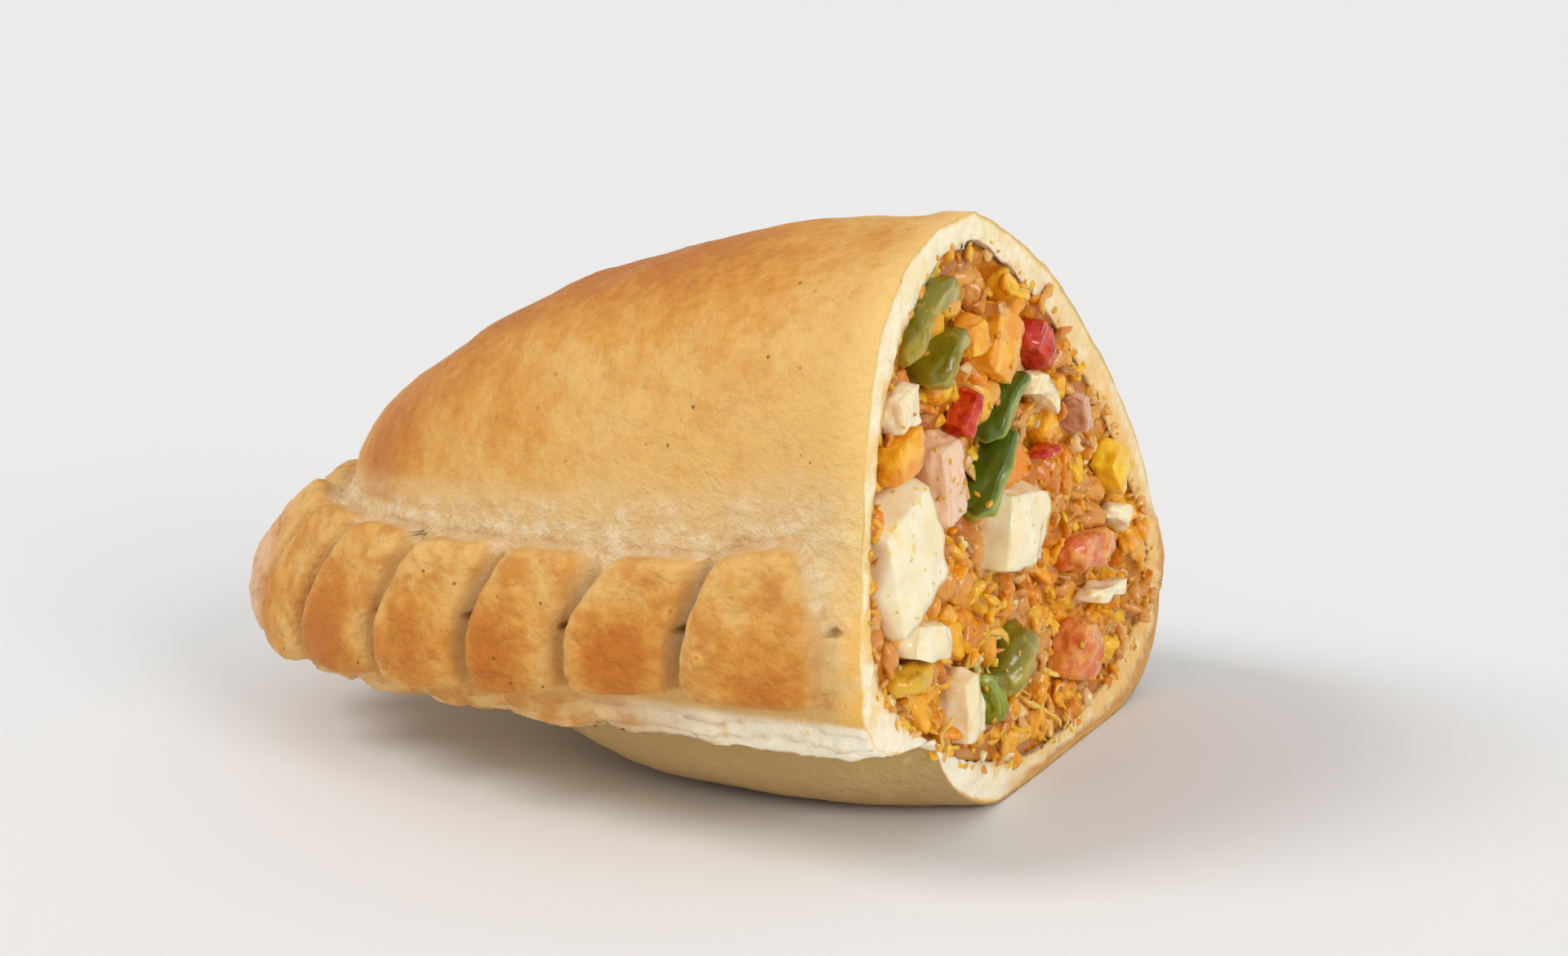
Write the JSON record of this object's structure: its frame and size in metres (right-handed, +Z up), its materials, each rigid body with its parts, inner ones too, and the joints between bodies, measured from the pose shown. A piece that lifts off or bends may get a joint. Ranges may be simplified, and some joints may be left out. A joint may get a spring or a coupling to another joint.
{
  "type": "argentine chicken empanada",
  "caption": "Half of a baked savoury turnover, cut straight across, with a crimped front edge and a chunky filling.",
  "frame": {"origin": "middle of the underside of the whole, on the plane that it rests on", "axes": "+X out of the cut face, -Y out of the main crimped edge, +Z up"},
  "size_m": [0.0612, 0.056, 0.042],
  "materials": {
    "crust": "baked dough, matt, pale gold with browned crimps",
    "filling": "cooked minced chicken, moist",
    "egg_white": "boiled egg white, moist",
    "green_pepper": "cooked green pepper and olive, moist",
    "green_leaf": "cooked spring onion leaf, moist",
    "red_pepper": "cooked red pepper, moist",
    "tomato": "cooked tomato, moist",
    "onion": "cooked onion, moist",
    "squash": "cooked squash, soft",
    "yellow_pepper": "cooked yellow pepper, moist"
  },
  "bodies": {
    "root": {"crust": "crust", "filling": "filling", "egg_white_wedge": "egg_white", "egg_white_slice": "egg_white", "egg_white_block": "egg_white", "egg_white_low": "egg_white", "egg_white_chip": "egg_white", "egg_white_sliver": "egg_white", "olive_pepper_fold": "green_pepper", "olive_pepper_strip": "green_pepper", "green_onion_upper": "green_leaf", "green_onion_lower": "green_leaf", "olive_bean": "green_pepper", "green_pepper_wedge": "green_leaf", "yellow_pepper_round": "yellow_pepper", "yellow_pepper_flap": "yellow_pepper", "red_pepper_upper": "red_pepper", "red_pepper_middle": "red_pepper", "red_pepper_chip": "red_pepper", "tomato_piece": "tomato", "tomato_slab": "tomato", "onion_layer": "onion", "onion_strip": "onion", "onion_purple": "onion", "onion_chip": "onion", "squash_block": "squash", "squash_left": "squash", "squash_mid": "squash"}
  },
  "joints": []
}
